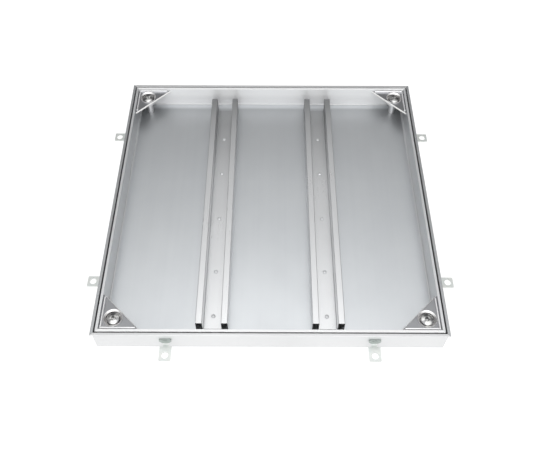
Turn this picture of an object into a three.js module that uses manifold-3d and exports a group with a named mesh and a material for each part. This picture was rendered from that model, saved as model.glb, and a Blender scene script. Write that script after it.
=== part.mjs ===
// Recessed floor access cover: a mitred angle frame with bent anchor lugs, and a lift-out infill
// tray with two stiffening rails and four locking sockets under corner gussets.
// Millimetres, +Z up, front is -Y. The origin is the centre of the frame's underside.
import * as THREE from 'three';
import Module from 'manifold-3d';
import { mergeVertices } from 'three/addons/utils/BufferGeometryUtils.js';

const wasm = await Module();
wasm.setup();

// ---- driving dimensions ----
const rimSpan = 760; // over the frame's lips, both ways
const frameHeight = 62;
const seam = 0.3; // gap left between pieces that touch
const trayDepth = 56; // rim to the tray's floor

const lipWidth = 6.4;
const lipThickness = 3.2;
const lipOverhang = 3.6; // lip past the frame's wall
const flangeReach = 26; // frame's bottom flange, from the lip's outer edge
const flangeThickness = 2;

const rimGap = 3.2; // open joint between the frame and the tray
const trayRimWidth = 5.8;
const trayRimThickness = 3.2;
const trayWall = 3;
const trayFoot = 4; // foot of the tray wall, lying on the floor sheet
const sheet = 1.5; // floor sheet and rails

const gasketInset = 10;
const gasketWidth = 12;

const lugOffset = 224; // each lug from the middle of its side
const lugWidth = 26;
const lugThickness = 2.5;
const lugReach = 38; // past the frame's lip
const lugLevel = 17.5; // underside of the level leg
const lugTop = 39; // top of the leg against the wall
const lugNeck = 12.5;
const lugNeckEnd = 4.5; // past the frame's lip
const lugTaperFoot = 23; // the leg narrows to the neck between these heights
const lugTaperTop = 31;
const lugTopClip = 4; // side of the square turned on its corner that clips the top
const lugHoleRadius = 7.5;
const lugHoleInset = 12.5; // from the free end
const lugBendRadius = 1.5;
const lugRivetHeight = 33.5;

const railOffset = rimSpan / 6;
const railWidth = 70;
const ribWidth = 14.5;
const ribTopDrop = 15.3; // rib tops below the rim
const ribEndInset = 36.8; // rib ends from the lip's outer edge
const webEndInset = 43;
const rivetStations = [74, 190, 343, 487, 607]; // from the front lip's outer edge

const socketInset = 43.5; // socket centres from both lips' outer edges
const socketRadius = 18.4;
const socketCollarRadius = 20.8;
const socketCollarHeight = 2.2;
const socketCollarEase = 0.6;
const socketBore = 16.6;
const socketShoulderTop = 45.5;
const socketShoulder = 3.5;
const sleeveRadius = 8.4; // narrow sleeve from the cup down to the floor sheet
const socketChamfer = 2.9;

const gussetHypotenuse = 119; // sum of the two insets along the slanting edge
const gussetThickness = 4;
const gussetDrop = 6; // plate below the rim
const gussetTip = 3;
const beadInset = 2.7; // raised bead from the tray wall
const beadWidth = 3.5;
const beadTopDrop = 1.5;

const lockPlateLeg = 60;
const threadHoleRadius = 6.3;
const screwHoleRadius = 6.8;

const washerThickness = 2;
const washerRadius = 15.2;
const screwRadius = 6;
const screwHeadRadius = 14.6;
const screwHeadSkirt = 5.6;
const screwHeadHeight = 9;
const screwHeadEase = 0.6;
const screwCrownRadius = 11; // where the rounded shoulder meets the crown
const screwCrownRise = 0.6;
const screwTip = 0.6; // above the underside
const screwTipChamfer = 1;
const keySize = 10; // across the flats of the hexagon recess
const keyDepth = 5;

const rivetShank = 2.4;
const rivetHole = 2.7;
const rivetHead = 4.6;
const rivetHeadHeight = 1.5;
const rivetTail = 3.5;
const rivetTailHeight = 1.3;

const footEdge = 0.9; // tray wall's foot: thickness at its toe, and the slope up to the wall
const footSlope = 1;
const footSlopeTop = 2.4;
const footRise = 3.9;

const fineSegments = 28;
const drillSegments = 24;
const washerSegments = 20;
const smallSegments = 12;
const rivetSegments = 8;
const past = 1; // how far a cutter runs past what it cuts
const wallCutter = 20; // length of a drill through a wall

// ---- worked out from them ----
const half = rimSpan / 2;
const frameWallInset = lipWidth;
const trayRimInset = lipWidth + rimGap;
const trayInner = trayRimInset + trayRimWidth; // inner face of the tray wall
const trayOuter = trayInner - trayWall;
const floorTop = frameHeight - trayDepth;
const floorBottom = floorTop - sheet;
const socketCentre = half - socketInset;
const gussetTop = frameHeight - gussetDrop;
const ribTop = frameHeight - ribTopDrop;
const railBottom = floorTop + seam;
const webTop = railBottom + sheet;
const washerBottom = socketShoulderTop + seam;
const headBottom = washerBottom + washerThickness + seam;

const corners = [
  { name: 'front_left', x: -1, y: -1 },
  { name: 'front_right', x: 1, y: -1 },
  { name: 'back_right', x: 1, y: 1 },
  { name: 'back_left', x: -1, y: 1 },
];
const sides = ['front', 'right', 'back', 'left']; // each a quarter turn on from the last
const ends = [
  { name: 'a', sign: -1 },
  { name: 'b', sign: 1 },
];

// ---- finishes ----
const finish = (color, roughness, metalness) =>
  new THREE.MeshStandardMaterial({ color, roughness, metalness });
const frameAluminium = finish(0xc9cdd0, 0.38, 1);
const trayAluminium = finish(0xbfc4c8, 0.42, 1);
const railSteel = finish(0xb9bdc0, 0.4, 1);
const gussetSteel = finish(0x9a9da1, 0.45, 1);
const socketSteel = finish(0xd5d6d6, 0.2, 1);
const screwSteel = finish(0xd0d0ce, 0.15, 1);
const zincSteel = finish(0xbfc5bd, 0.4, 1);
const rivetSteel = finish(0xb4b6b6, 0.35, 1);
const rubber = finish(0x2c2d2e, 0.85, 0);

// ---- booleans ----
function solidOf(geometry) {
  const bare = geometry.clone();
  bare.deleteAttribute('normal');
  bare.deleteAttribute('uv');
  const merged = mergeVertices(bare, 1e-4);
  return new wasm.Manifold(new wasm.Mesh({
    numProp: 3,
    vertProperties: new Float32Array(merged.attributes.position.array),
    triVerts: new Uint32Array(merged.index.array),
  }));
}

function geometryOf(solid) {
  const mesh = solid.getMesh();
  const geometry = new THREE.BufferGeometry();
  geometry.setAttribute('position', new THREE.BufferAttribute(mesh.vertProperties, 3));
  geometry.setIndex(new THREE.BufferAttribute(mesh.triVerts, 1));
  return geometry;
}

function cut(geometry, cutters) {
  const result = cutters.reduce((left, cutter) => left.subtract(solidOf(cutter)), solidOf(geometry));
  return geometryOf(result);
}

function join(first, second) {
  return geometryOf(solidOf(first).add(solidOf(second)));
}

// ---- shape helpers ----
function outline(points) {
  return new THREE.Shape(points.map(([x, y]) => new THREE.Vector2(x, y)));
}

function plate(shape, bottom, top) {
  const geometry = new THREE.ExtrudeGeometry(shape, { depth: top - bottom, bevelEnabled: false });
  return geometry.translate(0, 0, bottom);
}

function box(x0, x1, y0, y1, z0, z1) {
  return new THREE.BoxGeometry(x1 - x0, y1 - y0, z1 - z0)
    .translate((x0 + x1) / 2, (y0 + y1) / 2, (z0 + z1) / 2);
}

// An upright cylinder between two heights.
function drill(x, y, radius, z0, z1, segments = drillSegments) {
  return new THREE.CylinderGeometry(radius, radius, z1 - z0, segments)
    .rotateX(Math.PI / 2)
    .translate(x, y, (z0 + z1) / 2);
}

// A ring or solid of revolution about Z, from [radius, height] points.
function turned(points, segments) {
  const profile = points.map(([radius, height]) => new THREE.Vector2(radius, height));
  return new THREE.LatheGeometry(profile, segments).rotateX(Math.PI / 2);
}

// A bar along the front side with 45-degree mitres, from a section of [inset, height] points.
function mitredBar(section) {
  const bar = new THREE.ExtrudeGeometry(outline(section), { depth: 1, bevelEnabled: false });
  const position = bar.attributes.position;
  for (let i = 0; i < position.count; i += 1) {
    const inset = position.getX(i);
    const height = position.getY(i);
    const end = position.getZ(i) > 0.5 ? 1 : -1;
    position.setXYZ(i, end * (half - inset - seam / 2), inset - half, height);
  }
  return bar;
}

const group = new THREE.Group();

function add(name, geometry, material, turn = 0) {
  const mesh = new THREE.Mesh(geometry, material);
  mesh.name = name;
  mesh.rotation.z = turn;
  group.add(mesh);
}

// A dome-headed blind rivet along +Z with its head's seat at height 0 and its tail below.
function rivet(grip) {
  return turned([
    [0, -grip - rivetTailHeight],
    [rivetTail, -grip - rivetTailHeight],
    [rivetTail, -grip],
    [rivetShank, -grip],
    [rivetShank, 0],
    [rivetHead, 0],
    [rivetHead * 0.8, rivetHeadHeight * 0.7],
    [0, rivetHeadHeight],
  ], rivetSegments);
}

// ---- the frame ----
function frameSide() {
  const bar = mitredBar([
    [0, frameHeight],
    [0, frameHeight - lipThickness],
    [lipOverhang, frameHeight - lipThickness],
    [lipOverhang, 0],
    [flangeReach, 0],
    [flangeReach, flangeThickness],
    [frameWallInset, flangeThickness],
    [frameWallInset, frameHeight],
  ]);
  const holes = ends.map(({ sign }) => wallHole(sign * lugOffset));
  return cut(bar, holes);
}

function wallHole(x) {
  return new THREE.CylinderGeometry(rivetHole, rivetHole, wallCutter, smallSegments)
    .translate(x, -half, lugRivetHeight);
}

// A strap folded out level from the wall. Its upright leg narrows to a neck at the fold.
function anchorLug() {
  const inner = lipOverhang - seam - half; // face towards the wall
  const outer = inner - lugThickness;
  const tip = -half - lugReach;
  const levelTop = lugLevel + lugThickness;
  const foldY = outer - lugBendRadius;
  const foldZ = levelTop + lugBendRadius;
  const bend = new THREE.Shape();
  bend.moveTo(inner, lugTop);
  bend.lineTo(outer, lugTop);
  bend.lineTo(outer, foldZ);
  bend.absarc(foldY, foldZ, lugBendRadius, 0, -Math.PI / 2, true);
  bend.lineTo(tip, levelTop);
  bend.lineTo(tip, lugLevel);
  bend.lineTo(foldY, lugLevel);
  bend.absarc(foldY, foldZ, lugThickness + lugBendRadius, -Math.PI / 2, 0, false);
  bend.lineTo(inner, lugTop);
  const strap = new THREE.ExtrudeGeometry(bend, { depth: lugWidth, bevelEnabled: false, curveSegments: 4 })
    .rotateZ(Math.PI / 2)
    .rotateY(Math.PI / 2)
    .translate(-lugWidth / 2, 0, 0);
  const topClips = ends.map(({ sign }) => new THREE.BoxGeometry(lugTopClip, wallCutter, lugTopClip)
    .rotateY(Math.PI / 4)
    .translate(sign * lugWidth / 2, outer, lugTop));
  return cut(strap, [
    drill(0, tip + lugHoleInset, lugHoleRadius, lugLevel - past, levelTop + past),
    wallHole(0),
    ...ends.map(({ sign }) => lugNotch(sign, inner + past)),
    ...topClips,
  ]);
}

// What is cut away beside the neck, from the taper down to below the level leg.
function lugNotch(sign, back) {
  const depth = back + half + lugNeckEnd;
  const shape = outline([
    [sign * lugNeck / 2, lugLevel - past],
    [sign * lugNeck / 2, lugTaperFoot],
    [sign * lugWidth / 2, lugTaperTop],
    [sign * lugWidth, lugTaperTop],
    [sign * lugWidth, lugLevel - past],
  ]);
  return new THREE.ExtrudeGeometry(shape, { depth, bevelEnabled: false })
    .rotateX(Math.PI / 2)
    .translate(0, back, 0);
}

// The lug's rivet: head outside the lug, tail inside the frame's wall.
function lugRivet() {
  const headSeat = lipOverhang - seam - lugThickness - seam - half;
  const grip = frameWallInset + seam - half - headSeat;
  return rivet(grip).rotateX(Math.PI / 2).translate(0, headSeat, lugRivetHeight);
}

function addFrame() {
  const side = frameSide();
  const lug = anchorLug();
  const fastener = lugRivet();
  sides.forEach((name, index) => {
    const turn = index * Math.PI / 2;
    add(`frame_${name}`, side, frameAluminium, turn);
    ends.forEach((end) => {
      const shift = end.sign * lugOffset;
      add(`anchor_lug_${name}_${end.name}`, lug.clone().translate(shift, 0, 0), zincSteel, turn);
      add(`lug_rivet_${name}_${end.name}`, fastener.clone().translate(shift, 0, 0), rivetSteel, turn);
    });
  });
}

function squareShape(inset) {
  const reach = half - inset;
  return [[-reach, -reach], [reach, -reach], [reach, reach], [-reach, reach]];
}

function addGasket() {
  const ring = outline(squareShape(gasketInset));
  ring.holes.push(outline(squareShape(gasketInset + gasketWidth)));
  add('frame_gasket', plate(ring, flangeThickness + seam, floorBottom - seam), rubber);
}

// A plate inside each corner of the bottom flange that takes the locking screw.
function addLockPlates() {
  const reach = half - flangeReach - seam;
  corners.forEach(({ name, x, y }) => {
    const shape = outline([
      [x * reach, y * reach],
      [x * (reach - lockPlateLeg), y * reach],
      [x * reach, y * (reach - lockPlateLeg)],
    ]);
    const blank = plate(shape, 0, floorBottom - seam);
    const hole = drill(x * socketCentre, y * socketCentre, threadHoleRadius, -past, floorTop);
    add(`lock_plate_${name}`, cut(blank, [hole]), zincSteel);
  });
}

// ---- the tray ----
function addTrayEdges() {
  const foot = floorTop + seam;
  const side = mitredBar([
    [trayRimInset, frameHeight],
    [trayRimInset, frameHeight - trayRimThickness],
    [trayOuter, frameHeight - trayRimThickness],
    [trayOuter, foot],
    [trayInner + trayFoot, foot],
    [trayInner + trayFoot, foot + footEdge],
    [trayInner + footSlope, foot + footSlopeTop],
    [trayInner, foot + footRise],
    [trayInner, frameHeight],
  ]);
  sides.forEach((name, index) => add(`tray_edge_${name}`, side, trayAluminium, index * Math.PI / 2));
}

function rivetPoints() {
  return [-1, 1].flatMap((side) => rivetStations.map((station) => [side * railOffset, station - half]));
}

function addFloor() {
  const blank = plate(outline(squareShape(trayOuter)), floorBottom, floorTop);
  const screwHoles = corners.map(({ x, y }) =>
    drill(x * socketCentre, y * socketCentre, screwHoleRadius, 0, frameHeight));
  const rivetHoles = rivetPoints().map(([x, y]) => drill(x, y, rivetHole, 0, frameHeight, smallSegments));
  add('tray_floor', cut(blank, [...screwHoles, ...rivetHoles]), trayAluminium);
}

// One folded sheet: a flat web between two hollow ribs that are open underneath and at their ends.
function railGeometry() {
  const outer = railWidth / 2;
  const inner = outer - ribWidth;
  const wing = (sign) => [
    [sign * (inner + sheet), railBottom],
    [sign * (inner + sheet), ribTop - sheet],
    [sign * (outer - sheet), ribTop - sheet],
    [sign * (outer - sheet), railBottom],
    [sign * outer, railBottom],
    [sign * outer, ribTop],
    [sign * inner, ribTop],
    [sign * inner, webTop],
  ];
  const section = outline([...wing(1), ...wing(-1).reverse()]);
  const reach = half - ribEndInset;
  const rail = new THREE.ExtrudeGeometry(section, { depth: 2 * reach, bevelEnabled: false })
    .rotateX(Math.PI / 2)
    .translate(0, reach, 0);
  const webReach = half - webEndInset;
  const openEnds = ends.map(({ sign }) => {
    const near = sign * webReach;
    const far = sign * half;
    return box(-inner, inner, Math.min(near, far), Math.max(near, far), 0, webTop + past);
  });
  const holes = rivetStations.map((station) =>
    drill(0, station - half, rivetHole, 0, webTop + past, smallSegments));
  return cut(rail, [...openEnds, ...holes]);
}

function addRails() {
  const rail = railGeometry();
  add('rail_left', rail.clone().translate(-railOffset, 0, 0), railSteel);
  add('rail_right', rail.clone().translate(railOffset, 0, 0), railSteel);
  const seat = webTop + seam;
  const fastener = rivet(seat - (floorBottom - seam));
  rivetPoints().forEach(([x, y], index) => {
    const side = x < 0 ? 'left' : 'right';
    const number = index % rivetStations.length + 1;
    add(`rail_rivet_${side}_${number}`, fastener.clone().translate(x, y, seat), rivetSteel);
  });
}

// A corner plate with a raised bead along both walls and a hole for the socket.
function gusset({ x, y }) {
  const wall = trayInner + seam;
  const place = ([inset, other]) => [x * (half - inset), y * (half - other)];
  const far = gussetHypotenuse - wall - gussetTip;
  const shape = outline([
    [wall, wall],
    [far, wall],
    [far, wall + gussetTip],
    [wall + gussetTip, far],
    [wall, far],
  ].map(place));
  const near = trayInner + beadInset;
  const inner = near + beadWidth;
  const beadEnd = far - beadWidth;
  const bead = outline([
    [near, near],
    [beadEnd, near],
    [beadEnd, inner],
    [inner, inner],
    [inner, beadEnd],
    [near, beadEnd],
  ].map(place));
  const blank = join(
    plate(shape, gussetTop - gussetThickness, gussetTop),
    plate(bead, gussetTop - past, frameHeight - beadTopDrop),
  );
  const hole = drill(x * socketCentre, y * socketCentre, socketRadius + seam, 0, frameHeight, fineSegments);
  return cut(blank, [hole]);
}

// A cup with a collar on the gusset, a shoulder for the screw's washer and a narrow sleeve below.
function socketCup() {
  const seat = gussetTop + seam;
  const top = seat + socketCollarHeight;
  const cupBottom = socketShoulderTop - socketShoulder;
  return turned([
    [screwHoleRadius, floorTop + seam],
    [sleeveRadius, floorTop + seam],
    [sleeveRadius, cupBottom],
    [socketRadius, cupBottom],
    [socketRadius, seat],
    [socketCollarRadius, seat],
    [socketCollarRadius, top - socketCollarEase],
    [socketBore + socketChamfer, top],
    [socketBore, top - socketChamfer],
    [socketBore, socketShoulderTop],
    [screwHoleRadius, socketShoulderTop],
    [screwHoleRadius, floorTop + seam],
  ], fineSegments);
}

function sealingWasher() {
  return turned([
    [screwHoleRadius, washerBottom],
    [washerRadius, washerBottom],
    [washerRadius, washerBottom + washerThickness],
    [screwHoleRadius, washerBottom + washerThickness],
    [screwHoleRadius, washerBottom],
  ], washerSegments);
}

// A locking screw with a round-shouldered head and a hexagon recess. Its thread is drawn as a plain shank.
function lockingScrew() {
  const shoulderStart = headBottom + screwHeadSkirt;
  const top = headBottom + screwHeadHeight;
  const shoulderWidth = screwHeadRadius - screwCrownRadius;
  const shoulderHeight = screwHeadHeight - screwHeadSkirt - screwCrownRise;
  const shoulderSteps = 3;
  const shoulder = Array.from({ length: shoulderSteps + 1 }, (_, step) => {
    const angle = step / shoulderSteps * Math.PI / 2;
    return [
      screwCrownRadius + shoulderWidth * Math.cos(angle),
      shoulderStart + shoulderHeight * Math.sin(angle),
    ];
  });
  const keyRadius = keySize / Math.sqrt(3);
  const body = turned([
    [0, screwTip],
    [screwRadius - screwTipChamfer, screwTip],
    [screwRadius, screwTip + screwTipChamfer],
    [screwRadius, headBottom],
    [screwHeadRadius - screwHeadEase, headBottom],
    [screwHeadRadius, headBottom + screwHeadEase],
    ...shoulder,
    [keyRadius + past, top],
    [0, top],
  ], washerSegments);
  return cut(body, [drill(0, 0, keyRadius, top - keyDepth, top + past, 6)]);
}

function addSockets() {
  const cup = socketCup();
  const washer = sealingWasher();
  const screw = lockingScrew();
  corners.forEach((corner) => {
    const at = (geometry) => geometry.clone().translate(corner.x * socketCentre, corner.y * socketCentre, 0);
    add(`gusset_${corner.name}`, gusset(corner), gussetSteel);
    add(`socket_${corner.name}`, at(cup), socketSteel);
    add(`washer_${corner.name}`, at(washer), rubber);
    add(`screw_${corner.name}`, at(screw), screwSteel);
  });
}

addFrame();
addGasket();
addLockPlates();
addTrayEdges();
addFloor();
addRails();
addSockets();

export default group;
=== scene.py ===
import math

import bmesh
import bpy
from mathutils import Matrix, Vector


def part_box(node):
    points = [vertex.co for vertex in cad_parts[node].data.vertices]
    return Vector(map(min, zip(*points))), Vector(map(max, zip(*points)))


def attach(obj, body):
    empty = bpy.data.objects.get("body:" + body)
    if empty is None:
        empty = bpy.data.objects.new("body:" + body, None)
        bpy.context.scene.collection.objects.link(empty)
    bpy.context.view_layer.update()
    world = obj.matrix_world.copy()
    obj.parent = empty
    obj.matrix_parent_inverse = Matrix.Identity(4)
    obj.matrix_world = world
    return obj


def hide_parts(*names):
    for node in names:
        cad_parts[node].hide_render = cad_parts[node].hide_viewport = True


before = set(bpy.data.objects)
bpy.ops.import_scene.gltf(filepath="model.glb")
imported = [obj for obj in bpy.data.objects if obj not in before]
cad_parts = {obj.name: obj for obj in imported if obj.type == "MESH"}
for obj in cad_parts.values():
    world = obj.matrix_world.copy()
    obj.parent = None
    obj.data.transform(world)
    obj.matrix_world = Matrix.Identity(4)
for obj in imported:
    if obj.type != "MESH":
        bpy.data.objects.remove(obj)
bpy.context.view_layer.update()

# Recessed floor access cover: frame, lugs, lift-out tray, rails, gussets, sockets and screws.
# Metres, +Z up, front is -Y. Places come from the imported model, small sizes from the dictionaries below.

mm = 0.001
corners = ["front_left", "front_right", "back_right", "back_left"]
sides = ["front", "right", "back", "left"]  # each a quarter turn on from the last
half = -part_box("frame_front")[0].y  # centre to the lip's outer edge
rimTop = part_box("frame_front")[1].z
through = 40 * mm  # length of a cutter that passes right through a plate
close = mm / 10  # two places nearer than this count as one
rampPerMetre = 20  # makes a height of 0 to 50 mm run from 0 to 1 along a ramp


def middleOf(node):
    low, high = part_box(node)
    return (low + high) / 2


class Wire:
    # A socket that can be used in sums.

    def __init__(self, finish, socket):
        self.finish = finish
        self.socket = socket

    def sum(self, operation, left, right):
        return self.finish.node("ShaderNodeMath", {"operation": operation}, {0: left, 1: right})

    def __add__(self, other):
        return self.sum("ADD", self, other)

    def __radd__(self, other):
        return self.sum("ADD", other, self)

    def __sub__(self, other):
        return self.sum("SUBTRACT", self, other)

    def __rsub__(self, other):
        return self.sum("SUBTRACT", other, self)

    def __mul__(self, other):
        return self.sum("MULTIPLY", self, other)

    def __rmul__(self, other):
        return self.sum("MULTIPLY", other, self)


def setStops(ramp, stops):
    while len(ramp.elements) < len(stops):
        ramp.elements.new(0.5)
    for element, (position, level) in zip(ramp.elements, stops):
        element.position = position
        element.color = (level, level, level, 1)


class Finish:
    def __init__(self, name):
        self.material = bpy.data.materials.new(name)
        self.material.use_nodes = True
        self.tree = self.material.node_tree
        self.shader = self.tree.nodes["Principled BSDF"]
        self.place = self.node("ShaderNodeTexCoord", output="Object")

    def node(self, kind, settings=None, inputs=None, output=0):
        made = self.tree.nodes.new(kind)
        for name, value in (settings or {}).items():
            if name == "stops":
                setStops(made.color_ramp, value)
            else:
                setattr(made, name, value)
        for name, value in (inputs or {}).items():
            self.feed(made.inputs[name], value)
        return Wire(self, made.outputs[output])

    def feed(self, socket, value):
        if isinstance(value, Wire):
            self.tree.links.new(value.socket, socket)
        elif hasattr(value, "__len__") and len(value) == 3 and socket.type == "RGBA":
            socket.default_value = (*value, 1)
        else:
            socket.default_value = value

    def surface(self, **values):
        for name, value in values.items():
            self.feed(self.shader.inputs[name.replace("_", " ")], value)
        return self.material

    def stretched(self, scale, centre=(0, 0, 0), turn=0):
        moved = self.node("ShaderNodeVectorMath", {"operation": "SUBTRACT"}, {0: self.place, 1: centre})
        return self.node("ShaderNodeMapping", {}, {
            "Vector": moved, "Rotation": (0, 0, turn), "Scale": scale})

    def along(self, axis):
        return self.node("ShaderNodeSeparateXYZ", {}, {"Vector": self.place}, axis)

    def noise(self, vector, scale=1, detail=3, roughness=0.5):
        return self.node("ShaderNodeTexNoise", {}, {
            "Vector": vector, "Scale": scale, "Detail": detail, "Roughness": roughness})

    def ramp(self, value, stops):
        return self.node("ShaderNodeValToRGB", {"stops": stops}, {"Fac": value})

    def blend(self, factor, first, second):
        return self.node("ShaderNodeMix", {"data_type": "RGBA"}, {0: factor, 6: first, 7: second}, 2)

    def bump(self, height, distance):
        return self.node("ShaderNodeBump", {}, {"Height": height, "Distance": distance, "Strength": 1.0})


millLook = {
    "colour": (0.80, 0.825, 0.845),
    "dullColour": (0.70, 0.725, 0.75),
    "roughness": 0.30,
    "grain": 0.06,  # how much the roughness varies with the grain
    "lines": 0.030 * mm,  # depth of the fine rolling or die lines
    "metallic": 1.0,  # less than 1 lifts the parts that mirror something dark
    "footShade": 0,  # painted shade: how far the colour is darkened low down
    "footColour": (0.25, 0.25, 0.26),
    "backShade": 0,  # painted shade: how far it is darkened towards the back
    "backColour": (0.20, 0.205, 0.21),
    "backRoughness": 0.2,  # added there too
    "backRamp": [(0.08, 0), (0.26, 0.58), (0.343, 1), (0.354, 0.15)],  # metres towards the back
}


def millFinish(name, along, look):
    # Rolled or extruded aluminium with fine lines along X or Y, faint clouds and a few rub marks.
    finish = Finish(name)
    fine, long = 900, 6
    lineScale = (long, fine, fine) if along == "x" else (fine, long, fine)
    lines = finish.noise(finish.stretched(lineScale), detail=2)
    broadScale = (2, 90, 90) if along == "x" else (90, 2, 90)
    broad = finish.noise(finish.stretched(broadScale), detail=2)
    clouds = finish.noise(finish.stretched((5, 5, 5)), detail=4, roughness=0.55)
    rubs = finish.ramp(finish.noise(finish.stretched((26, 9, 20), turn=0.6), detail=6, roughness=0.7),
                       [(0.56, 0), (0.74, 1)])
    dull = finish.ramp(clouds, [(0.35, 0), (0.68, 1)]) * 0.45 + broad * 0.35
    colour = finish.blend(dull, look["colour"], look["dullColour"])
    roughness = lines * look["grain"] + clouds * 0.08 + rubs * 0.07 + (look["roughness"] - 0.08)
    if look["footShade"]:
        low = finish.ramp(finish.along("Z") * rampPerMetre, [(0.14, 1), (0.85, 0)])  # fades by 42 mm
        colour = finish.blend(low * look["footShade"], colour, look["footColour"])
    if look["backShade"]:
        back = finish.ramp(finish.along("Y"), look["backRamp"])
        colour = finish.blend(back * look["backShade"], colour, look["backColour"])
        roughness = roughness + back * look["backRoughness"]
    height = lines * 0.75 + broad * 0.5
    return finish.surface(
        Base_Color=colour, Metallic=look["metallic"], Roughness=roughness,
        Normal=finish.bump(height, look["lines"]))


plateLook = {
    "colour": (0.39, 0.395, 0.41),
    "dullColour": (0.31, 0.315, 0.33),
    "roughness": 0.24,
    "brushing": 0.03 * mm,
}


def brushedPlate(name, centre, look):
    # Gusset plate, brushed across the corner, with a darker satin look.
    finish = Finish(name)
    turn = math.atan2(centre.y, centre.x) + math.pi / 2
    lines = finish.noise(finish.stretched((14, 1100, 60), centre, -turn), detail=2)
    clouds = finish.noise(finish.stretched((30, 30, 30)), detail=3)
    colour = finish.blend(clouds, look["colour"], look["dullColour"])
    return finish.surface(
        Base_Color=colour, Metallic=1.0, Roughness=lines * 0.12 + clouds * 0.1 + look["roughness"],
        Normal=finish.bump(lines, look["brushing"]))


def turnedSteel(name, centre, look):
    # Lathe-turned steel: fine rings round the piece's own axis.
    finish = Finish(name)
    local = finish.stretched((1, 1, 0), centre)
    radius = finish.node("ShaderNodeVectorMath", {"operation": "LENGTH"}, {0: local}, "Value")
    rings = finish.node("ShaderNodeMath", {"operation": "SINE"}, {0: radius * look["ringScale"]})
    smudge = finish.noise(finish.stretched((120, 120, 120), centre), detail=3)
    colour = finish.blend(smudge, look["colour"], look["dullColour"])
    # painted reflection: dark wedges round the axis stand in for the bow-tie highlights of turned metal
    if look["glints"]:
        east, north = (finish.node("ShaderNodeSeparateXYZ", {}, {"Vector": local}, axis) for axis in "XY")
        angle = finish.node("ShaderNodeMath", {"operation": "ARCTAN2"}, {0: north, 1: east})
        fan = finish.node("ShaderNodeMath", {"operation": "SINE"}, {0: angle * 3 + smudge * 5})
        dark = finish.ramp(fan * 0.5 + 0.5, [(0.35, 0), (0.75, 1)])
        colour = finish.blend(dark * look["glints"], colour, look["glintColour"])
    return finish.surface(
        Base_Color=colour, Metallic=1.0, Roughness=smudge * 0.14 + look["roughness"],
        Normal=finish.bump(rings, look["rings"]))


zincLook = {
    "colour": (0.70, 0.735, 0.72),
    "strawColour": (0.74, 0.755, 0.73),
    "fleckColour": (0.72, 0.76, 0.745),
    "shadeColour": (0.33, 0.375, 0.355),
    "uprightShade": 0.85,  # painted shade: how far the upright leg is darkened
    "metallic": 0.6,
    "roughness": 0.3,
    "crystals": 420,  # how many to the metre
    "depth": 0.02 * mm,
}


def zincPlate(name, look):
    # Bright zinc plate with a faint straw and green cast and a fine crystalline mottle.
    finish = Finish(name)
    crystals = finish.node("ShaderNodeTexVoronoi", {"feature": "F1"}, {
        "Vector": finish.place, "Scale": look["crystals"], "Randomness": 1.0}, "Color")
    flecks = finish.node("ShaderNodeSeparateColor", {}, {"Color": crystals}, "Red")
    clouds = finish.noise(finish.stretched((60, 60, 60)), detail=4)
    plain = finish.blend(finish.ramp(clouds, [(0.35, 0), (0.65, 1)]), look["colour"], look["strawColour"])
    colour = finish.blend(flecks * 0.25, plain, look["fleckColour"])
    upright = finish.ramp(finish.along("Z") * rampPerMetre, [(0.44, 0), (0.52, 1)])  # painted shade above the fold
    colour = finish.blend(upright * look["uprightShade"], colour, look["shadeColour"])
    return finish.surface(
        Base_Color=colour, Metallic=look["metallic"],
        Roughness=flecks * 0.12 + clouds * 0.12 + look["roughness"],
        Normal=finish.bump(flecks + clouds, look["depth"]))


rivetLook = {
    "colour": (0.80, 0.81, 0.82),
    "dullColour": (0.72, 0.73, 0.74),
    "metallic": 0.8,
    "roughness": 0.45,
    "depth": 0.03 * mm,
}
cutLook = {
    "colour": (0.97, 0.965, 0.95),
    "dullColour": (0.86, 0.855, 0.84),
    "metallic": 0.35,
    "roughness": 0.35,
    "depth": 0.05 * mm,
}
rubberLook = {
    "colour": (0.05, 0.05, 0.051),
    "dustColour": (0.50, 0.49, 0.47),
    "dust": 0.5,  # how much there is everywhere
    "roughness": 0.6,
    "depth": 0.05 * mm,
}


def rivetSteel(name, look):
    finish = Finish(name)
    marks = finish.noise(finish.stretched((500, 500, 500)), detail=3)
    colour = finish.blend(marks, look["colour"], look["dullColour"])
    return finish.surface(
        Base_Color=colour, Metallic=look["metallic"], Roughness=marks * 0.2 + look["roughness"],
        Normal=finish.bump(marks, look["depth"]))


def cutEdge(name, look):
    # Bright, slightly rough metal where a plate was sheared.
    finish = Finish(name)
    tears = finish.noise(finish.stretched((700, 700, 160)), detail=3)
    colour = finish.blend(tears, look["colour"], look["dullColour"])
    return finish.surface(
        Base_Color=colour, Metallic=look["metallic"], Roughness=tears * 0.2 + look["roughness"],
        Normal=finish.bump(tears, look["depth"]))


def sealRubber(name, look):
    finish = Finish(name)
    pores = finish.noise(finish.stretched((1400, 1400, 1400)), detail=3)
    dust = finish.ramp(finish.noise(finish.stretched((25, 25, 25)), detail=5), [(0.45, 0), (0.75, 1)])
    colour = finish.blend(dust * 0.4 + look["dust"], look["colour"], look["dustColour"])
    return finish.surface(
        Base_Color=colour, Metallic=0.0, Roughness=pores * 0.2 + look["roughness"],
        Normal=finish.bump(pores, look["depth"]))
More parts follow.
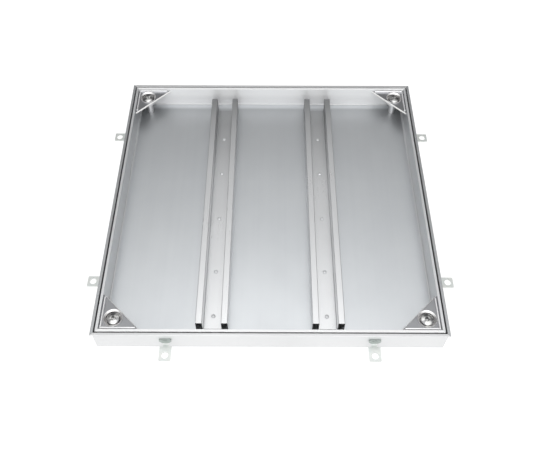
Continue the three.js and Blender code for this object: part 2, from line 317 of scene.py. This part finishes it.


# X bars run along the front and back, Y bars along the left and right. Each pair has its own look: the
# same aluminium in a lighter and a darker copy, with painted light on the X bars and painted shade on the
# Y bars.
frameLook = dict(millLook, colour=(0.74, 0.745, 0.75), dullColour=(0.67, 0.675, 0.68), roughness=0.34,
                 lines=0.10 * mm, metallic=0.75)
# painted shade: a darker copy of the frame aluminium for the left and right bars
shadedSideLook = dict(frameLook, colour=(0.50, 0.51, 0.52), dullColour=(0.42, 0.43, 0.44), roughness=0.28,
                lines=0.20 * mm, metallic=0.65)
# painted light: a brighter copy of the aluminium for the tray's front and back
litTrayLook = dict(frameLook, colour=(0.91, 0.915, 0.92), dullColour=(0.85, 0.855, 0.86), roughness=0.33,
                metallic=0.2, footShade=0.30)
traySideLook = dict(millLook, colour=(0.76, 0.77, 0.78), dullColour=(0.69, 0.70, 0.71), metallic=0.7)
sheetLook = dict(millLook, colour=(0.745, 0.77, 0.79), dullColour=(0.65, 0.675, 0.70), roughness=0.32,
                 metallic=0.86, backShade=0.62)
railLook = dict(millLook, colour=(0.86, 0.87, 0.88), dullColour=(0.78, 0.79, 0.80), roughness=0.30,
                metallic=0.88, backShade=0.86)
# painted shade: the rail sheet's cut ends are near black, for the dark lines of shade at the rail's ends
endShadeLook = dict(millLook, colour=(0.07, 0.07, 0.075), dullColour=(0.04, 0.04, 0.045), roughness=0.5,
               metallic=0.5)
beadLook = dict(frameLook, colour=(0.93, 0.93, 0.94), dullColour=(0.88, 0.88, 0.89), roughness=0.35)
frameFinish = {"x": millFinish("frameAluminiumX", "x", frameLook),
               "y": millFinish("frameAluminiumShadedY", "y", shadedSideLook)}
trayFinish = {"x": millFinish("trayAluminiumLitX", "x", litTrayLook),
              "y": millFinish("trayAluminiumY", "y", traySideLook)}
beadFinish = millFinish("beadAluminium", "x", beadLook)
floorFinish = millFinish("floorSheet", "y", sheetLook)
railFinish = millFinish("railSheet", "y", railLook)
railEndShadeFinish = millFinish("railEndsShade", "y", endShadeLook)
cutFinish = cutEdge("cutEdge", cutLook)
zincFinish = zincPlate("zincPlate", zincLook)
rivetFinish = rivetSteel("rivetSteel", rivetLook)
rubberFinish = sealRubber("sealRubber", rubberLook)
print("materials made")


def sharpEdges(bm, angle=30):
    bm.normal_update()
    limit = math.radians(angle)
    return [e for e in bm.edges if len(e.link_faces) == 2 and e.calc_face_angle(0) > limit]


def roundEdges(bm, radius, segments=2, edges=None):
    bmesh.ops.bevel(bm, geom=edges or sharpEdges(bm), offset=radius, offset_type="OFFSET",
                    segments=segments, profile=0.5, affect="EDGES", clamp_overlap=True, material=-1)


def extruded(bm, faces, by):
    made = bmesh.ops.extrude_face_region(bm, geom=faces)["geom"]
    bmesh.ops.translate(bm, verts=[g for g in made if isinstance(g, bmesh.types.BMVert)], vec=by)


def slab(points, bottom, top):
    # A flat plate from an outline of (x, y) points.
    bm = bmesh.new()
    face = bm.faces.new([bm.verts.new((x, y, bottom)) for x, y in points])
    extruded(bm, [face], (0, 0, top - bottom))
    bmesh.ops.recalc_face_normals(bm, faces=bm.faces)
    return bm


def sliced(bm, point, normal, clear=False):
    geometry = bm.verts[:] + bm.edges[:] + bm.faces[:]
    bmesh.ops.bisect_plane(bm, geom=geometry, plane_co=point, plane_no=normal, clear_outer=clear)


def turnedShape(profile, steps, closed=False):
    # Spins (radius, height) points about Z.
    bm = bmesh.new()
    verts = [bm.verts.new((radius, 0, height)) for radius, height in profile]
    pairs = list(zip(verts, verts[1:])) + ([(verts[-1], verts[0])] if closed else [])
    edges = [bm.edges.new(pair) for pair in pairs]
    bmesh.ops.spin(bm, geom=verts + edges, cent=(0, 0, 0), axis=(0, 0, 1), dvec=(0, 0, 0),
                   angle=2 * math.pi, steps=steps, use_merge=True, use_duplicate=False)
    bmesh.ops.remove_doubles(bm, verts=bm.verts, dist=0.001 * mm)
    bmesh.ops.recalc_face_normals(bm, faces=bm.faces)
    return bm


def join(bm, other):
    mesh = bpy.data.meshes.new("joining")
    other.to_mesh(mesh)
    other.free()
    bm.from_mesh(mesh)
    bpy.data.meshes.remove(mesh)


def moved(bm, place=(0, 0, 0), turn=None):
    if turn is not None:
        bmesh.ops.rotate(bm, verts=bm.verts, cent=(0, 0, 0), matrix=turn)
    bmesh.ops.translate(bm, verts=bm.verts, vec=place)
    return bm


def aboutZ(angle):
    return Matrix.Rotation(angle, 3, "Z")


def drilled(bm, holes, merge=True):
    # Cuts round holes along Z, each (centre, radius, length), and merges the faces that stay flat.
    cutter = bmesh.new()
    for centre, radius, length in holes:
        bmesh.ops.create_cone(cutter, cap_ends=True, segments=32, radius1=radius, radius2=radius,
                              depth=length, matrix=Matrix.Translation(centre))
    result = subtracted(bm, cutter)
    if merge:
        bmesh.ops.dissolve_limit(result, angle_limit=math.radians(0.5), verts=result.verts,
                                 edges=result.edges)
    return result


def subtracted(bm, cutter):
    objects = []
    for part in (bm, cutter):
        mesh = bpy.data.meshes.new("cutting")
        part.to_mesh(mesh)
        part.free()
        objects.append(bpy.data.objects.new("cutting", mesh))
        bpy.context.scene.collection.objects.link(objects[-1])
    solid, tool = objects
    boolean = solid.modifiers.new("cut", "BOOLEAN")
    boolean.operation, boolean.object, boolean.solver = "DIFFERENCE", tool, "EXACT"
    evaluated = solid.evaluated_get(bpy.context.evaluated_depsgraph_get())
    result = bmesh.new()
    result.from_mesh(evaluated.to_mesh())
    evaluated.to_mesh_clear()
    for thing in objects:
        mesh = thing.data
        bpy.data.objects.remove(thing)
        bpy.data.meshes.remove(mesh)
    return result


def piece(name, bm, materials, body, node, smooth=35):
    mesh = bpy.data.meshes.new(name)
    bm.to_mesh(mesh)
    bm.free()
    for material in materials if isinstance(materials, list) else [materials]:
        mesh.materials.append(material)
    mesh.shade_smooth()
    mesh.set_sharp_from_angle(angle=math.radians(smooth))
    made = bpy.data.objects.new(name, mesh)
    even = made.modifiers.new("evenShading", "WEIGHTED_NORMAL")
    even.keep_sharp = True
    bpy.context.scene.collection.objects.link(made)
    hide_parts(node)
    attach(made, body)


def mitredBar(section, radius):
    # A bar along the front side with 45-degree ends, from (inset, height) points.
    bm = bmesh.new()
    face = bm.faces.new([bm.verts.new((-half, inset - half, height)) for inset, height in section])
    extruded(bm, [face], (2 * half, 0, 0))
    for end in (-1, 1):
        sliced(bm, (0, -mitreGap, 0), (end, 1, 0), clear=True)
        bmesh.ops.holes_fill(bm, edges=[e for e in bm.edges if e.is_boundary])
    bmesh.ops.recalc_face_normals(bm, faces=bm.faces)
    roundEdges(bm, radius, 3)
    return bm


mitreGap = 0.1 * mm  # how far each bar's end stands back from the corner's diagonal
frameSide = {
    "lipWidth": 6.4 * mm,
    "lipThickness": 3.2 * mm,
    "lipOverhang": 3.6 * mm,
    "flangeReach": 26 * mm,
    "flangeThickness": 2 * mm,
    "edgeRadius": 0.5 * mm,
}


def makeFrame():
    s = frameSide
    section = [
        (0, rimTop),
        (0, rimTop - s["lipThickness"]),
        (s["lipOverhang"], rimTop - s["lipThickness"]),
        (s["lipOverhang"], 0),
        (s["flangeReach"], 0),
        (s["flangeReach"], s["flangeThickness"]),
        (s["lipWidth"], s["flangeThickness"]),
        (s["lipWidth"], rimTop),
    ]
    for index, side in enumerate(sides):
        bm = moved(mitredBar(section, s["edgeRadius"]), turn=aboutZ(index * math.pi / 2))
        piece("frameSide_" + side, bm, frameFinish["xy"[index % 2]], "frame",
              "frame_" + side)


lugStrap = {
    "width": 26 * mm,
    "thickness": 2.5 * mm,
    "neck": 12.5 * mm,
    "neckEnd": 4.5 * mm,  # past the frame's lip
    "taperFoot": 23 * mm,  # the leg narrows to the neck between these heights
    "taperTop": 31 * mm,
    "foldRadius": 4 * mm,  # outside of the fold
    "topCorner": 2.8 * mm,
    "tipCorner": 2 * mm,
    "hole": 7.5 * mm,
    "holeInset": 12.5 * mm,
    "cutterLength": 20 * mm,
    "edgeRadius": 0.35 * mm,
}


def lugSheet(wall, tip, level, top):
    # The strap as a folded sheet: its outer face, `wall` against the frame and `tip` at the free end.
    s = lugStrap
    bm = bmesh.new()
    edge, neck = s["width"] / 2, s["neck"] / 2
    line = [(wall, top), (wall, s["taperTop"]), (wall, s["taperFoot"]), (wall, level),
            (-half - s["neckEnd"], level), (tip, level)]
    verts = [bm.verts.new((-edge, y, z)) for y, z in line]
    edges = [bm.edges.new(pair) for pair in zip(verts, verts[1:])]
    grown = bmesh.ops.extrude_edge_only(bm, edges=edges)["geom"]
    bmesh.ops.translate(bm, verts=[g for g in grown if isinstance(g, bmesh.types.BMVert)],
                        vec=(s["width"], 0, 0))
    for x in (-neck, neck):
        sliced(bm, (x, 0, 0), (1, 0, 0))
    waste = []
    for face in bm.faces:
        middle = face.calc_center_median()
        if abs(middle.x) > neck and middle.z < s["taperFoot"] and middle.y > -half - s["neckEnd"]:
            waste.append(face)
    bmesh.ops.delete(bm, geom=waste, context="FACES")
    for vert in bm.verts:  # draws the taper in from the full width
        if abs(vert.co.z - s["taperFoot"]) < close and abs(vert.co.x) > neck + close:
            vert.co.x = math.copysign(neck, vert.co.x)
    bmesh.ops.remove_doubles(bm, verts=bm.verts, dist=mm / 100)
    fold = [e for e in bm.edges if all(
        abs(v.co.y - wall) < close and abs(v.co.z - level) < close for v in e.verts)]
    roundEdges(bm, s["foldRadius"], 6, fold)
    for height, away, size in ((top, wall, s["topCorner"]), (level, tip, s["tipCorner"])):
        ends = [v for v in bm.verts if abs(v.co.z - height) < close and abs(v.co.y - away) < close
                and abs(v.co.x) > edge - close]
        bmesh.ops.bevel(bm, geom=ends, offset=size, segments=4, profile=0.5, affect="VERTICES",
                        clamp_overlap=True, material=-1)
    bmesh.ops.recalc_face_normals(bm, faces=bm.faces)
    outermost = min(bm.faces, key=lambda f: f.calc_center_median().y)
    if outermost.normal.z < 0:
        bmesh.ops.reverse_faces(bm, faces=bm.faces)
    bmesh.ops.solidify(bm, geom=bm.faces[:], thickness=-s["thickness"])
    bmesh.ops.recalc_face_normals(bm, faces=bm.faces)
    return bm


def makeLugs():
    s = lugStrap
    low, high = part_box("anchor_lug_front_a")
    for index, side in enumerate(sides):
        for end, sign in (("a", -1), ("b", 1)):
            shift = sign * abs((low.x + high.x) / 2)
            bm = lugSheet(high.y, low.y, low.z, high.z)
            hole = Vector((0, low.y + s["holeInset"], low.z))
            # Not merged: a merged lug's mesh isn't the same every time the script runs.
            bm = drilled(bm, [(hole, s["hole"], s["cutterLength"])], merge=False)
            roundEdges(bm, s["edgeRadius"])
            moved(bm, (shift, 0, 0))
            moved(bm, turn=aboutZ(index * math.pi / 2))
            piece(f"anchorLug_{side}_{end}", bm, zincFinish, "frame",
                  f"anchor_lug_{side}_{end}")


rivetShape = {
    "head": 4.6 * mm,
    "headHeight": 1.5 * mm,
    "shank": 2.4 * mm,
    "tail": 3.4 * mm,
    "tailHeight": 1.2 * mm,
    "mandrel": 1.1 * mm,
}


def rivet(grip):
    # A blind rivet along Z, its head's seat at 0 and its tail below, with the broken mandrel in the
    # dome. The factors are shares of the head's radius and height, and of the tail's.
    s = rivetShape
    head, tall = s["head"], s["headHeight"]
    return turnedShape([
        (0, -grip - s["tailHeight"]),
        (s["tail"] * 0.7, -grip - s["tailHeight"]),
        (s["tail"], -grip - s["tailHeight"] * 0.5),
        (s["tail"] * 0.9, -grip),
        (s["shank"], -grip),
        (s["shank"], 0),
        (head * 0.97, 0),
        (head, tall * 0.16),
        (head * 0.93, tall * 0.42),
        (head * 0.72, tall * 0.74),
        (head * 0.45, tall * 0.95),
        (s["mandrel"] * 1.25, tall),
        (s["mandrel"], tall * 0.93),
        (s["mandrel"] * 0.95, tall * 0.55),
        (0, tall * 0.5),
    ], 24)


def makeLugRivets():
    low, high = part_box("lug_rivet_front_a")
    s = rivetShape
    seat = low.y + s["headHeight"]
    grip = high.y - s["tailHeight"] - seat
    for index, side in enumerate(sides):
        for end, sign in (("a", -1), ("b", 1)):
            shift = sign * abs((low.x + high.x) / 2)
            bm = moved(rivet(grip), turn=Matrix.Rotation(math.pi / 2, 3, "X"))
            moved(bm, (shift, seat, (low.z + high.z) / 2))
            moved(bm, turn=aboutZ(index * math.pi / 2))
            piece(f"lugRivet_{side}_{end}", bm, zincFinish, "frame",
                  f"lug_rivet_{side}_{end}")


seal = {
    "width": 12 * mm,
    "edge": 2 * mm,  # flat beside the ridge, on both sides
    "ridgeRise": 0.4 * mm,
}


def makeGasket():
    s = seal
    low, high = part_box("frame_gasket")
    reach = high.x
    bm = slab([(-reach, -reach), (reach, -reach), (reach, reach), (-reach, reach)],
              low.z, high.z - s["ridgeRise"])
    lids = [f for f in bm.faces if abs(f.normal.z) > 0.9]
    bmesh.ops.inset_individual(bm, faces=lids, thickness=s["width"], use_even_offset=True)
    bmesh.ops.delete(bm, geom=[f for f in bm.faces if abs(f.normal.z) > 0.9
                               and f.calc_center_median().xy.length < mm], context="FACES_ONLY")
    bmesh.ops.bridge_loops(bm, edges=[e for e in bm.edges if e.is_boundary])
    tops = [f for f in bm.faces if f.normal.z > 0.9]
    bmesh.ops.inset_region(bm, faces=tops, thickness=s["edge"], use_even_offset=True)
    outside, inside = reach - s["edge"] + mm / 2, reach - s["width"] + s["edge"] - mm / 2
    ridge = [f for f in bm.faces if f.normal.z > 0.9 and all(
        inside < max(abs(v.co.x), abs(v.co.y)) < outside for v in f.verts)]
    bmesh.ops.translate(bm, verts=list({v for f in ridge for v in f.verts}), vec=(0, 0, s["ridgeRise"]))
    bmesh.ops.recalc_face_normals(bm, faces=bm.faces)
    piece("frameGasket", bm, rubberFinish, "frame", "frame_gasket")


lockPlate = {
    "hole": 6.3 * mm,
    "edgeRadius": 0.6 * mm,
}


def makeLockPlates():
    s = lockPlate
    for corner in corners:
        low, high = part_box("lock_plate_" + corner)
        x = (low.x, high.x) if "left" in corner else (high.x, low.x)
        y = (low.y, high.y) if "front" in corner else (high.y, low.y)
        centre = middleOf("screw_" + corner)
        bm = slab([(x[0], y[0]), (x[1], y[0]), (x[0], y[1])], low.z, high.z)
        bm = drilled(bm, [(Vector((centre.x, centre.y, 0)), s["hole"], through)])
        roundEdges(bm, s["edgeRadius"])
        piece("lockPlate_" + corner, bm, zincFinish, "frame",
              "lock_plate_" + corner)


makeFrame()
makeLugs()
makeLugRivets()
makeGasket()
makeLockPlates()
print("frame made")


trayEdge = {
    "rimInset": 9.6 * mm,
    "rimWidth": 5.8 * mm,
    "rimThickness": 3.2 * mm,
    "wall": 3 * mm,
    "foot": 4 * mm,
    "footEdge": 0.9 * mm,
    "cove": 1 * mm,
    "edgeRadius": 0.4 * mm,
}


def makeTrayEdges():
    s = trayEdge
    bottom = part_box("tray_edge_front")[0].z
    inner = s["rimInset"] + s["rimWidth"]
    outer = inner - s["wall"]
    footTop = bottom + s["footEdge"]
    cove = [(inner + s["cove"] * (1 - math.sin(a)), footTop + s["cove"] * (1 - math.cos(a)))
            for a in (math.radians(22.5 * step) for step in range(5))]
    section = [
        (s["rimInset"], rimTop),
        (s["rimInset"], rimTop - s["rimThickness"]),
        (outer, rimTop - s["rimThickness"]),
        (outer, bottom),
        (inner + s["foot"], bottom),
        (inner + s["foot"], footTop),
        *cove,
        (inner, rimTop),
    ]
    for index, side in enumerate(sides):
        bm = moved(mitredBar(section, s["edgeRadius"]), turn=aboutZ(index * math.pi / 2))
        piece("trayEdge_" + side, bm, trayFinish["xy"[index % 2]], "tray",
              "tray_edge_" + side)


def railRivetCentres():
    names = [f"{side}_{number}" for side in ("left", "right") for number in range(1, 6)]
    return {name: middleOf("rail_rivet_" + name) for name in names}


floorSheet = {
    "screwHole": 6.8 * mm,
    "rivetHole": 2.5 * mm,
    "edgeRadius": 0.25 * mm,
}


def makeFloor():
    s = floorSheet
    low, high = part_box("tray_floor")
    bm = slab([(low.x, low.y), (high.x, low.y), (high.x, high.y), (low.x, high.y)], low.z, high.z)
    holes = []
    for corner in corners:
        centre = middleOf("screw_" + corner)
        holes.append((Vector((centre.x, centre.y, 0)), s["screwHole"], through))
    for centre in railRivetCentres().values():
        holes.append((Vector((centre.x, centre.y, 0)), s["rivetHole"], through))
    bm = drilled(bm, holes)
    roundEdges(bm, s["edgeRadius"])
    piece("trayFloor", bm, floorFinish, "tray", "tray_floor")


rail = {
    "ribWidth": 14.5 * mm,
    "sheet": 1.2 * mm,
    "foldRadius": 1.35 * mm,
    "webSetBack": 6.2 * mm,  # web's ends, inside the ribs' ends
    "rivetHole": 2.5 * mm,
    "cutterLength": 6 * mm,
    "edgeRadius": 0.2 * mm,
}


def makeRail(side):
    # A flat web between two hollow ribs, folded from one sheet.
    s = rail
    low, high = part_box("rail_" + side)
    centre = (low.x + high.x) / 2
    outer = (high.x - low.x) / 2
    inner = outer - s["ribWidth"]
    bm = bmesh.new()
    web = low.z + s["sheet"]
    line = [(-outer, low.z), (-outer, high.z), (-inner, high.z), (-inner, web),
            (inner, web), (inner, high.z), (outer, high.z), (outer, low.z)]
    verts = [bm.verts.new((x, low.y, z)) for x, z in line]
    edges = [bm.edges.new(pair) for pair in zip(verts, verts[1:])]
    grown = bmesh.ops.extrude_edge_only(bm, edges=edges)["geom"]
    bmesh.ops.translate(bm, verts=[g for g in grown if isinstance(g, bmesh.types.BMVert)],
                        vec=(0, high.y - low.y, 0))
    folds = [e for e in bm.edges if len(e.link_faces) == 2]
    roundEdges(bm, s["foldRadius"], 5, folds)
    for y in (low.y + s["webSetBack"], high.y - s["webSetBack"]):
        sliced(bm, (0, y, 0), (0, 1, 0))
    flat = inner - s["foldRadius"] - 2 * close
    middle, reach = (low.y + high.y) / 2, (high.y - low.y) / 2 - s["webSetBack"]
    waste = [f for f in bm.faces if abs(f.calc_center_median().x) < flat
             and abs(f.calc_center_median().y - middle) > reach]
    bmesh.ops.delete(bm, geom=waste, context="FACES")
    bmesh.ops.recalc_face_normals(bm, faces=bm.faces)
    webFace = min(bm.faces, key=lambda f: f.calc_center_median().to_2d().length)
    if webFace.normal.z < 0:
        bmesh.ops.reverse_faces(bm, faces=bm.faces)
    bmesh.ops.solidify(bm, geom=bm.faces[:], thickness=s["sheet"])
    bmesh.ops.recalc_face_normals(bm, faces=bm.faces)
    holes = [(Vector((0, c.y, low.z)), s["rivetHole"], s["cutterLength"])
             for name, c in railRivetCentres().items() if name.startswith(side)]
    bm = drilled(bm, holes)
    roundEdges(bm, s["edgeRadius"])
    for face in bm.faces:  # the sheet's cut ends, painted near black as shade
        if abs(face.normal.y) > 0.9:
            face.material_index = 1
    moved(bm, (centre, 0, 0))
    piece("rail_" + side + "_folded", bm, [railFinish, railEndShadeFinish], "tray",
          "rail_" + side)


def makeRailRivets():
    s = rivetShape
    for name, centre in railRivetCentres().items():
        low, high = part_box("rail_rivet_" + name)
        seat = high.z - s["headHeight"]
        grip = seat - (low.z + s["tailHeight"])
        bm = moved(rivet(grip), (centre.x, centre.y, seat))
        piece("railRivet_" + name, bm, rivetFinish, "tray", "rail_rivet_" + name)


gussetPlate = {
    "thickness": 4 * mm,
    "tip": 3 * mm,
    "beadInset": 2.4 * mm,  # bead from the plate's own edge
    "beadWidth": 3.5 * mm,
    "beadRadius": 1.3 * mm,
    "slopeEdge": 2.4 * mm,  # chamfer along the slanting edge
    "hole": 18.7 * mm,
    "edgeRadius": 0.35 * mm,
    "beadRoot": 0.5 * mm,  # how far the bead is let into the plate
    "shearedBand": 5 * mm,  # how near the slanting edge the bright cut look begins
}


def makeGusset(corner):
    # A corner plate with a raised bead along both walls, worked out as front left and then turned.
    s = gussetPlate
    low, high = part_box("gusset_front_left")
    socket = middleOf("socket_front_left")
    top = low.z + s["thickness"]
    bm = slab([(low.x, low.y), (high.x, low.y), (high.x, low.y + s["tip"]),
               (low.x + s["tip"], high.y), (low.x, high.y)], low.z, top)
    slope = [e for e in bm.edges if all(v.co.z > low.z + mm for v in e.verts)
             and abs(e.verts[0].co.x - e.verts[1].co.x) > mm
             and abs(e.verts[0].co.y - e.verts[1].co.y) > mm]
    roundEdges(bm, s["slopeEdge"], 1, slope)
    bm = drilled(bm, [(Vector((socket.x, socket.y, low.z)), s["hole"], through)])
    roundEdges(bm, s["edgeRadius"])
    sheared = max(v.co.x + v.co.y for v in bm.verts) - s["shearedBand"]
    for face in bm.faces:
        outward = (face.normal.x + face.normal.y) / math.sqrt(2)
        if outward > 0.3 and face.calc_center_median().x + face.calc_center_median().y > sheared:
            face.material_index = 2
    near, far = s["beadInset"], s["beadInset"] + s["beadWidth"]
    end = high.x - low.x - s["tip"] - s["beadWidth"]
    bead = slab([(low.x + x, low.y + y) for x, y in (
        (near, near), (end, near), (end, far), (far, far), (far, end), (near, end))],
        top - s["beadRoot"], high.z)
    roundEdges(bead, s["beadRadius"], 4, [e for e in sharpEdges(bead) if all(
        v.co.z > top for v in e.verts)])
    for face in bead.faces:
        face.material_index = 1
    join(bm, bead)
    turn = corners.index(corner) * math.pi / 2
    moved(bm, turn=aboutZ(turn))
    centre = aboutZ(turn) @ socket
    finishes = [brushedPlate("gussetBrushed_" + corner, centre, plateLook), beadFinish, cutFinish]
    piece("gussetPlate_" + corner, bm, finishes, "tray", "gusset_" + corner)


socketLook = {
    "colour": (0.95, 0.94, 0.94),
    "dullColour": (0.88, 0.87, 0.87),
    "roughness": 0.28,
    "glints": 0,  # how dark the painted fan of reflections is
    "ringScale": 9000,
    "rings": 0.006 * mm,
}
screwLook = {
    "colour": (0.80, 0.80, 0.79),
    "dullColour": (0.62, 0.62, 0.61),
    "roughness": 0.08,
    "glints": 0.8,
    "glintColour": (0.16, 0.16, 0.17),
    "ringScale": 14000,
    "rings": 0.002 * mm,
}
socketCup = {
    "tube": 18.4 * mm,
    "collarHeight": 2.2 * mm,
    "bore": 16.6 * mm,
    "chamfer": 3.6 * mm,
    "chamferDepth": 2.9 * mm,
    "shoulderTop": 45.5 * mm,
    "shoulder": 3.5 * mm,
    "screwHole": 6.8 * mm,
    "sleeve": 8.4 * mm,
    "edgeRadius": 0.35 * mm,
}


def makeSocket(corner):
    s = socketCup
    low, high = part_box("socket_" + corner)
    centre = Vector(((low.x + high.x) / 2, (low.y + high.y) / 2, 0))
    collar = (high.x - low.x) / 2
    seat = high.z - s["collarHeight"]
    cupBottom = s["shoulderTop"] - s["shoulder"]
    bm = turnedShape([
        (s["screwHole"], low.z),
        (s["sleeve"], low.z),
        (s["sleeve"], cupBottom),
        (s["tube"], cupBottom),
        (s["tube"], seat),
        (collar, seat),
        (collar, high.z),
        (s["bore"] + s["chamfer"], high.z),
        (s["bore"], high.z - s["chamferDepth"]),
        (s["bore"], s["shoulderTop"]),
        (s["screwHole"], s["shoulderTop"]),
    ], 64, closed=True)
    roundEdges(bm, s["edgeRadius"], 3, sharpEdges(bm, 25))
    moved(bm, centre)
    steel = turnedSteel("socketTurned_" + corner, centre, socketLook)
    piece("socketCup_" + corner, bm, steel, "tray", "socket_" + corner)


washer = {
    "hole": 6.8 * mm,
    "edgeRadius": 0.7 * mm,
}


def makeWasher(corner):
    low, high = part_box("washer_" + corner)
    outer, inner = (high.x - low.x) / 2, washer["hole"]
    bm = turnedShape([(inner, low.z), (outer, low.z), (outer, high.z), (inner, high.z)],
                     48, closed=True)
    roundEdges(bm, washer["edgeRadius"], 3)
    moved(bm, ((low.x + high.x) / 2, (low.y + high.y) / 2, 0))
    piece("sealingWasher_" + corner, bm, rubberFinish, "washer_" + corner,
          "washer_" + corner)


screwShape = {
    "skirt": 5.6 * mm,
    "headHeight": 9 * mm,
    "crownRadius": 11 * mm,
    "crownRise": 0.6 * mm,
    "shank": 6 * mm,
    "threadDepth": 0.9 * mm,
    "pitch": 1.75 * mm,
    "threadLength": 26 * mm,
    "key": 10 * mm,
    "keyDepth": 5 * mm,
    "edge": 0.5 * mm,  # chamfer under the head
    "tipInset": 1.6 * mm,
    "tipHeight": 0.9 * mm,
    "tipLength": 1.2 * mm,  # before the thread starts
    "crestStart": 0.44,  # share of a turn of the thread
    "crestEnd": 0.56,
    "runOut": 1 * mm,  # from the thread's end to the plain shank
    "rim": 2 * mm,  # flat round the recess
    "rimFall": 0.1 * mm,
}


def screwHead(bottom, top, radius):
    # The round-shouldered head with its hexagon recess.
    s = screwShape
    start = bottom + s["skirt"]
    rise = top - s["crownRise"] - start
    crown = s["crownRadius"]
    recess = s["key"] / math.sqrt(3)
    shoulder = [(crown + (radius - crown) * math.cos(math.radians(angle)),
                 start + rise * math.sin(math.radians(angle))) for angle in range(0, 91, 15)]
    edge = s["edge"]
    bm = turnedShape([(0, bottom), (radius - edge, bottom), (radius, bottom + edge), *shoulder,
                      (recess + s["rim"], top - s["rimFall"]), (recess + s["rim"] / 2, top),
                      (0, top)], 60)
    tool = bmesh.new()  # tapered, and the key's size where it meets the top
    bmesh.ops.create_cone(tool, cap_ends=True, segments=6, radius1=recess * 0.5, radius2=recess * 1.5,
                          depth=2 * s["keyDepth"], matrix=Matrix.Translation((0, 0, top)))
    return subtracted(bm, tool)


def makeScrew(corner):
    s = screwShape
    low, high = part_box("screw_" + corner)
    centre = Vector(((low.x + high.x) / 2, (low.y + high.y) / 2, 0))
    bottom = high.z - s["headHeight"]
    start = low.z + s["tipLength"]
    neck = bottom + s["edge"]
    bm = screwHead(bottom, high.z, (high.x - low.x) / 2)
    join(bm, turnedShape([
        (0, low.z),
        (s["shank"] - s["tipInset"], low.z),
        (s["shank"] - s["threadDepth"], low.z + s["tipHeight"]),
        *threadProfile(start),
        (s["shank"], start + s["threadLength"] + s["runOut"]),
        (s["shank"], neck),
        (0, neck),
    ], 32))
    moved(bm, centre)
    piece("lockingScrew_" + corner, bm, turnedSteel("screwPolished_" + corner, centre, screwLook),
          "screw_" + corner, "screw_" + corner)


def threadProfile(start):
    # Crests and roots of the thread along the shank.
    s = screwShape
    count = int(s["threadLength"] / s["pitch"])
    root = s["shank"] - s["threadDepth"]
    points = []
    for turn in range(count):
        z = start + turn * s["pitch"]
        points += [(root, z), (s["shank"], z + s["pitch"] * s["crestStart"]),
                   (s["shank"], z + s["pitch"] * s["crestEnd"])]
    points.append((root, start + count * s["pitch"]))
    return points


makeTrayEdges()
makeFloor()
for side in ("left", "right"):
    makeRail(side)
makeRailRivets()
for corner in corners:
    makeGusset(corner)
    makeSocket(corner)
    makeWasher(corner)
    makeScrew(corner)
print("tray made")


studio = {
    "lens": 43.5,
    "place": (0.0024, -0.9828, 1.3120),
    "tilt": 35.40,  # degrees up from straight down
    "turn": 0.228,
    "floorReach": 12,
    "floorDrop": 0.5 * mm,  # under the frame, so that the two don't share a plane
    "floorColour": (0.25, 0.25, 0.25),
    "floorRoughness": 0.9,
    "floorShine": 0.1,
    "floorGlow": 0.88,
    "skyAxis": (0, -0.5, 0.866),  # towards the brightest part
    # how near to that axis (-1 away, 1 along it) and how bright
    "sky": [(-0.5, 0.30), (0.10, 0.25), (0.24, 0.30), (0.395, 0.425), (0.577, 1.56), (0.75, 2.12),
            (1.0, 2.35)],
    # how far to the side and how much of that light is left
    "flags": [(0.06, 1.0), (0.30, 0.70), (0.60, 0.52), (1.0, 0.45)],
    # height and how much of the pale horizon shows
    "horizon": [(0.02, 1), (0.14, 0)],
    "horizonColour": (0.5, 0.5, 0.5),
    "skyStrength": 2.0,
}


def makeCamera():
    camera = bpy.data.objects.new("camera", bpy.data.cameras.new("camera"))
    bpy.context.scene.collection.objects.link(camera)
    camera.data.lens = studio["lens"]
    camera.data.sensor_width = 36
    camera.location = studio["place"]
    camera.rotation_euler = (math.radians(studio["tilt"]), 0, math.radians(studio["turn"]))
    bpy.context.scene.camera = camera


def makeFloorStage():
    bm = bmesh.new()
    bmesh.ops.create_grid(bm, x_segments=1, y_segments=1, size=studio["floorReach"])
    moved(bm, (0, 0, -studio["floorDrop"]))
    mesh = bpy.data.meshes.new("studioFloor")
    bm.to_mesh(mesh)
    bm.free()
    finish = Finish("studioFloor")
    mesh.materials.append(finish.surface(
        Base_Color=studio["floorColour"], Roughness=studio["floorRoughness"],
        Specular_IOR_Level=studio["floorShine"],
        Emission_Color=(1, 1, 1), Emission_Strength=studio["floorGlow"]))
    floor = bpy.data.objects.new("studioFloor", mesh)
    bpy.context.scene.collection.objects.link(floor)


class Sky(Finish):
    # The surroundings: a bright cloth overhead and behind the camera, dimmer beyond the cover.

    def __init__(self, name):
        self.material = bpy.data.worlds.new(name)
        self.material.use_nodes = True
        self.tree = self.material.node_tree
        self.shader = self.tree.nodes["Background"]
        self.place = self.node("ShaderNodeTexCoord", output="Generated")

    def facing(self, axis):
        # How near a direction is to an axis, from -1 to 1.
        return self.node("ShaderNodeVectorMath", {"operation": "DOT_PRODUCT"},
                         {0: self.place, 1: axis}, "Value")


def makeSky():
    sky = Sky("softSky")
    bpy.context.scene.world = sky.material
    strength = studio["skyStrength"]
    cloth = sky.ramp(sky.facing(studio["skyAxis"]) * 0.5 + 0.5,
                     [((1 + at) / 2, level / strength) for at, level in studio["sky"]])
    aside = sky.node("ShaderNodeMath", {"operation": "ABSOLUTE"}, {0: sky.facing((1, 0, 0))})
    flags = sky.ramp(aside, studio["flags"])
    horizon = sky.ramp(sky.facing((0, 0, 1)), studio["horizon"])
    light = sky.blend(horizon, cloth * flags, studio["horizonColour"])
    sky.surface(Color=light, Strength=strength)


makeCamera()
makeFloorStage()
makeSky()
bpy.context.scene.view_settings.view_transform = "Standard"
print("stage made")
